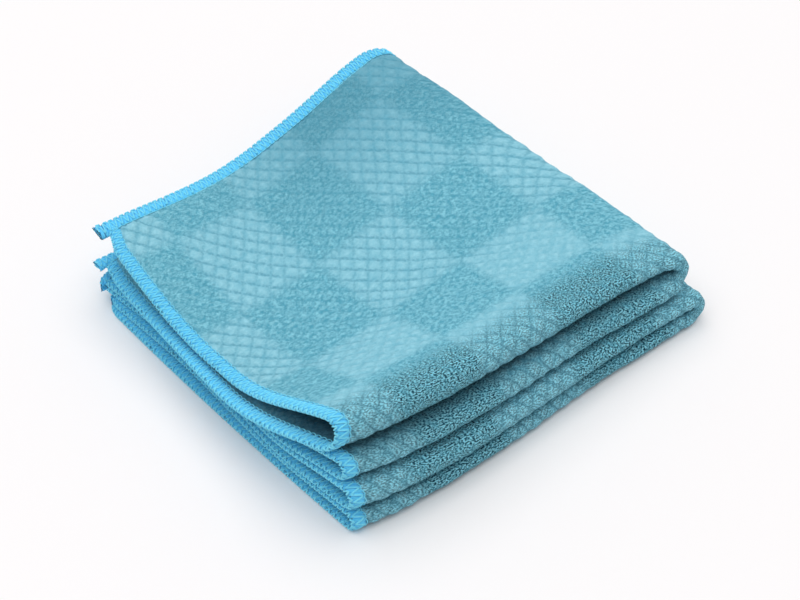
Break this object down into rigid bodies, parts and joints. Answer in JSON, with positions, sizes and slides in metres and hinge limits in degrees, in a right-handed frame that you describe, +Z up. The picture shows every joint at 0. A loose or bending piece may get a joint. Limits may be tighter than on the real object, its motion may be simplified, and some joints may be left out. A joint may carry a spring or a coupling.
{
  "type": "microfibre towel",
  "caption": "Stacked quilted microfibre cleaning towels with overlocked thread edging, folded square, that lift off and unfold along a soft crease.",
  "frame": {"origin": "middle of the footprint of the stack, on the surface that it lies on", "axes": "+Z up; -Y is the side of the rounded first folds; +X is the side of the second fold; -X and +Y are the open edged sides"},
  "size_m": [0.1622, 0.1662, 0.0424],
  "materials": {
    "microfibre_cloth": "soft matte quilted pile",
    "edging_thread": "soft matte overlock thread"
  },
  "bodies": {
    "bottom_lower_half": {"bottom_lower_cloth": "microfibre_cloth", "bottom_lower_left_edging": "edging_thread", "bottom_lower_outer_back_edging": "edging_thread", "bottom_lower_inner_back_edging": "edging_thread"},
    "bottom_upper_half": {"bottom_upper_cloth": "microfibre_cloth", "bottom_upper_left_edging": "edging_thread", "bottom_upper_outer_back_edging": "edging_thread", "bottom_upper_inner_back_edging": "edging_thread"},
    "top_lower_half": {"top_lower_cloth": "microfibre_cloth", "top_lower_left_edging": "edging_thread", "top_lower_outer_back_edging": "edging_thread", "top_lower_inner_back_edging": "edging_thread"},
    "top_upper_half": {"top_upper_cloth": "microfibre_cloth", "top_upper_left_edging": "edging_thread", "top_upper_outer_back_edging": "edging_thread", "top_upper_inner_back_edging": "edging_thread"}
  },
  "joints": [
    {"name": "bottom_towel_unfold", "type": "hinge", "parent": "bottom_lower_half", "child": "bottom_upper_half", "pos_m": [0.08128, 0, 0.00696], "axis": [0, 1, 0.0046], "range_deg": [0, 25]},
    {"name": "top_towel_lift", "type": "slide", "parent": "bottom_upper_half", "child": "top_lower_half", "axis": [0, 0, 1], "range_m": [0, 0.08]},
    {"name": "top_towel_unfold", "type": "hinge", "parent": "top_lower_half", "child": "top_upper_half", "pos_m": [0.07828, 0, 0.02276], "axis": [0, 0.9997, 0.023], "range_deg": [0, 170]}
  ]
}
